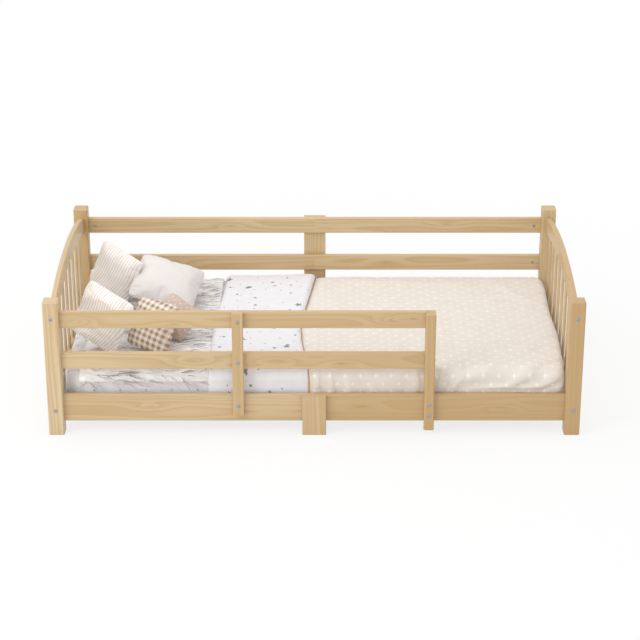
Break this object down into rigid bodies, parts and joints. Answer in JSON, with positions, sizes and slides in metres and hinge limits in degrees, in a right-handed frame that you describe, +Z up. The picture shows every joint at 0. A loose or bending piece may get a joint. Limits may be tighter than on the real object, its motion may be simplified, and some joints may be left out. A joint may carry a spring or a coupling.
{
  "type": "toddler floor bed",
  "caption": "Low pine floor bed with guard rails, an open entry, arched slatted ends and a slat deck, made up with mattress, quilt, duvet and pillows.",
  "frame": {"origin": "on the floor, at the middle of the bed's length and width", "axes": "+X runs along the bed from the pillow end to the foot end, +Y from the open front to the back, +Z up"},
  "size_m": [2.0144, 1.0744, 0.557],
  "materials": {
    "pine": "clear satin lacquer over close-grained pine",
    "beech_dowel": "bare",
    "zinc_steel": "zinc plated, satin",
    "mattress_sheet": "matt woven cotton with a faint small star print",
    "long_pile": "long soft pile",
    "star_cotton": "matt woven cotton with scattered dark stars",
    "cross_cotton": "matt woven cotton with small white crosses",
    "striped_cotton": "matt woven cotton with narrow brown stripes",
    "white_cotton": "matt woven cotton",
    "gingham_cotton": "woven brown and white checks",
    "dotted_cotton": "matt woven cotton with small white dots"
  },
  "bodies": {
    "root": {"back_mid_rail_left": "pine", "back_mid_rail_right": "pine", "back_top_rail_left": "pine", "back_top_rail_right": "pine", "barrel_nuts": "zinc_steel", "centre_batten_back": "pine", "centre_leg_front": "pine", "centre_support_beam": "pine", "deck_slat_01": "pine", "deck_slat_02": "pine", "deck_slat_03": "pine", "deck_slat_04": "pine", "deck_slat_05": "pine", "deck_slat_06": "pine", "deck_slat_07": "pine", "deck_slat_08": "pine", "deck_slat_09": "pine", "deck_slat_10": "pine", "deck_slat_11": "pine", "deck_slat_12": "pine", "deck_slat_13": "pine", "duvet": "cross_cotton", "footboard_arch_rail": "pine", "footboard_bottom_rail": "pine", "footboard_slats": "pine", "fur_throw": "long_pile", "guard_batten": "pine", "guard_bolts": "zinc_steel", "guard_end_post": "pine", "guard_mid_rail_left": "pine", "guard_mid_rail_right": "pine", "guard_top_rail_left": "pine", "guard_top_rail_right": "pine", "headboard_arch_rail": "pine", "headboard_bottom_rail": "pine", "headboard_slats": "pine", "mattress": "mattress_sheet", "pillow_dotted": "dotted_cotton", "pillow_gingham": "gingham_cotton", "pillow_striped_back": "striped_cotton", "pillow_striped_side": "striped_cotton", "pillow_white": "white_cotton", "post_back_left": "pine", "post_back_right": "pine", "post_bolts": "zinc_steel", "post_front_left": "pine", "post_front_right": "pine", "side_rail_back_left": "pine", "side_rail_back_right": "pine", "side_rail_front_left": "pine", "side_rail_front_right": "pine", "slat_ledge_back_left": "pine", "slat_ledge_back_right": "pine", "slat_ledge_front_left": "pine", "slat_ledge_front_right": "pine", "sleeve_nuts": "zinc_steel", "star_quilt": "star_cotton", "wood_dowels": "beech_dowel", "wood_screws": "zinc_steel"}
  },
  "joints": []
}
